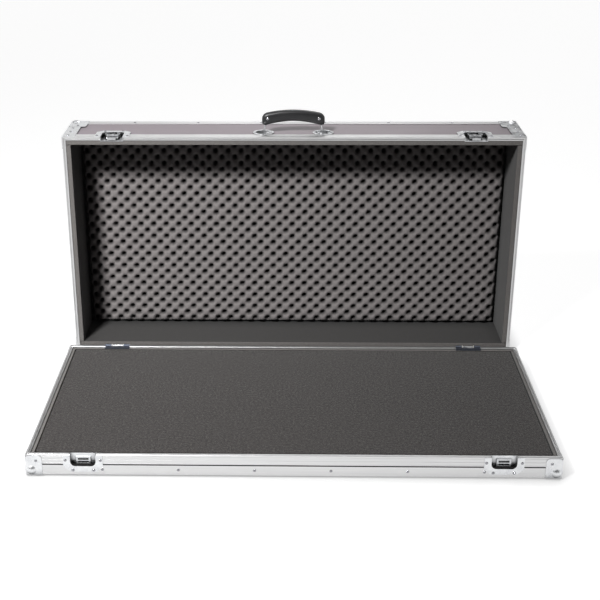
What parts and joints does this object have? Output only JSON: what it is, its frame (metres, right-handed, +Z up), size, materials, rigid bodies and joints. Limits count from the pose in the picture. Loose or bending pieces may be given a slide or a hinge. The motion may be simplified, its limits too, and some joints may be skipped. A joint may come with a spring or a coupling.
{
  "type": "guitar pedal flight case",
  "caption": "Wide shallow flight case for guitar pedals: carpeted base, deep foam-lined lift-off lid, recessed butterfly latches, lift-off hinges, ball corners and a carrying handle.",
  "frame": {"origin": "on the floor, in the middle of the base and the lid as they stand laid out", "axes": "+X along the width, to the right seen from the front; +Y from the base's latch side to its hinge side and on to the lid that stands behind it; +Z up"},
  "size_m": [1.1098, 0.8025, 0.611],
  "materials": {
    "lining_foam": "matte flocked foam",
    "egg_crate_foam": "matte egg-crate foam",
    "deck_carpet": "short speckled pile",
    "birch_ply": "sawn birch plywood",
    "laminated_ply": "birch plywood faced with a purple-grey laminate",
    "aluminium_extrusion": "brushed anodised",
    "chromed_fitting": "bright plated pressing",
    "black_grip": "moulded, slightly satin",
    "nylon": "natural nylon",
    "dark_hinge_steel": "dark blue-grey passivated steel",
    "plated_steel": "zinc plated"
  },
  "bodies": {
    "base": {"base_ball_corners": "chromed_fitting", "base_floor": "laminated_ply", "base_front_edge_angle": "aluminium_extrusion", "base_front_rim": "aluminium_extrusion", "base_front_wall": "laminated_ply", "base_latch_dish_left": "chromed_fitting", "base_latch_dish_right": "chromed_fitting", "base_left_edge_angle": "aluminium_extrusion", "base_left_rim": "aluminium_extrusion", "base_left_wall": "laminated_ply", "base_lining_foam": "lining_foam", "base_rear_edge_angle": "aluminium_extrusion", "base_rear_rim": "aluminium_extrusion", "base_rear_wall": "laminated_ply", "base_right_edge_angle": "aluminium_extrusion", "base_right_rim": "aluminium_extrusion", "base_right_wall": "laminated_ply", "deck_battens": "birch_ply", "deck_carpet": "deck_carpet", "hinge_base_leaf_left": "dark_hinge_steel", "hinge_base_leaf_right": "dark_hinge_steel", "hinge_pins": "plated_steel", "latch_keepers": "plated_steel", "pedal_deck": "birch_ply"},
    "hinge_washers": {"hinge_washers": "nylon"},
    "lid": {"egg_crate_foam": "egg_crate_foam", "handle_cups": "chromed_fitting", "hinge_lid_leaf_left": "dark_hinge_steel", "hinge_lid_leaf_right": "dark_hinge_steel", "lid_ball_corners": "chromed_fitting", "lid_corner_angles": "aluminium_extrusion", "lid_corner_braces": "chromed_fitting", "lid_front_edge_angle": "aluminium_extrusion", "lid_front_rim": "aluminium_extrusion", "lid_front_wall": "laminated_ply", "lid_latch_dish_left": "chromed_fitting", "lid_latch_dish_right": "chromed_fitting", "lid_left_edge_angle": "aluminium_extrusion", "lid_left_rim": "aluminium_extrusion", "lid_left_wall": "laminated_ply", "lid_lining_foam": "lining_foam", "lid_rear_edge_angle": "aluminium_extrusion", "lid_rear_rim": "aluminium_extrusion", "lid_rear_wall": "laminated_ply", "lid_right_edge_angle": "aluminium_extrusion", "lid_right_rim": "aluminium_extrusion", "lid_right_wall": "laminated_ply", "lid_top": "laminated_ply"},
    "handle": {"handle_grip": "black_grip", "handle_wires": "plated_steel"},
    "cam_left": {"latch_cam_left": "plated_steel"},
    "slide_left": {"latch_slide_left": "plated_steel"},
    "hook_left": {"latch_hook_left": "plated_steel"},
    "wing_left_a": {"latch_wing_left_a": "plated_steel"},
    "wing_left_b": {"latch_wing_left_b": "plated_steel"},
    "cam_right": {"latch_cam_right": "plated_steel"},
    "slide_right": {"latch_slide_right": "plated_steel"},
    "hook_right": {"latch_hook_right": "plated_steel"},
    "wing_right_a": {"latch_wing_right_a": "plated_steel"},
    "wing_right_b": {"latch_wing_right_b": "plated_steel"}
  },
  "joints": [
    {"name": "lid_hinge", "type": "hinge", "parent": "base", "child": "hinge_washers", "pos_m": [0, 0.15485, 0.0507], "axis": [1, 0, 0], "range_deg": [0, 90]},
    {"name": "lid_lift_off", "type": "slide", "parent": "hinge_washers", "child": "lid", "axis": [0, -0.8703, 0.4925], "range_m": [0, 0.09502]},
    {"name": "handle_swing", "type": "hinge", "parent": "lid", "child": "handle", "pos_m": [0, 0.28275, 0.553], "axis": [1, 0, 0], "range_deg": [-55, 55]},
    {"name": "latch_cam_turn_left", "type": "hinge", "parent": "lid", "child": "cam_left", "pos_m": [-0.432, 0.26375, 0.555], "axis": [0, 0, 1], "range_deg": [0, 180]},
    {"name": "latch_draw_left", "type": "slide", "parent": "lid", "child": "slide_left", "axis": [0, -1, 0], "range_m": [0, 0.01]},
    {"name": "latch_hook_rock_left", "type": "hinge", "parent": "slide_left", "child": "hook_left", "pos_m": [-0.432, 0.25345, 0.5485], "axis": [-1, 0, 0], "range_deg": [0, 8]},
    {"name": "latch_wing_fold_left_a", "type": "hinge", "parent": "cam_left", "child": "wing_left_a", "pos_m": [-0.437, 0.26375, 0.5525], "axis": [0, 1, 0], "range_deg": [0, 85]},
    {"name": "latch_wing_fold_left_b", "type": "hinge", "parent": "cam_left", "child": "wing_left_b", "pos_m": [-0.427, 0.26375, 0.5525], "axis": [0, -1, 0], "range_deg": [0, 85]},
    {"name": "latch_cam_turn_right", "type": "hinge", "parent": "lid", "child": "cam_right", "pos_m": [0.432, 0.26375, 0.555], "axis": [0, 0, 1], "range_deg": [0, 180]},
    {"name": "latch_draw_right", "type": "slide", "parent": "lid", "child": "slide_right", "axis": [0, -1, 0], "range_m": [0, 0.01]},
    {"name": "latch_hook_rock_right", "type": "hinge", "parent": "slide_right", "child": "hook_right", "pos_m": [0.432, 0.25345, 0.5485], "axis": [-1, 0, 0], "range_deg": [0, 8]},
    {"name": "latch_wing_fold_right_a", "type": "hinge", "parent": "cam_right", "child": "wing_right_a", "pos_m": [0.427, 0.26375, 0.5525], "axis": [0, 1, 0], "range_deg": [0, 85]},
    {"name": "latch_wing_fold_right_b", "type": "hinge", "parent": "cam_right", "child": "wing_right_b", "pos_m": [0.437, 0.26375, 0.5525], "axis": [0, -1, 0], "range_deg": [0, 85]}
  ],
  "couplings": [
    {"joint": "latch_draw_left", "follows": "latch_cam_turn_left", "m_per_rad": 0.003183},
    {"joint": "latch_draw_right", "follows": "latch_cam_turn_right", "m_per_rad": 0.003183}
  ]
}
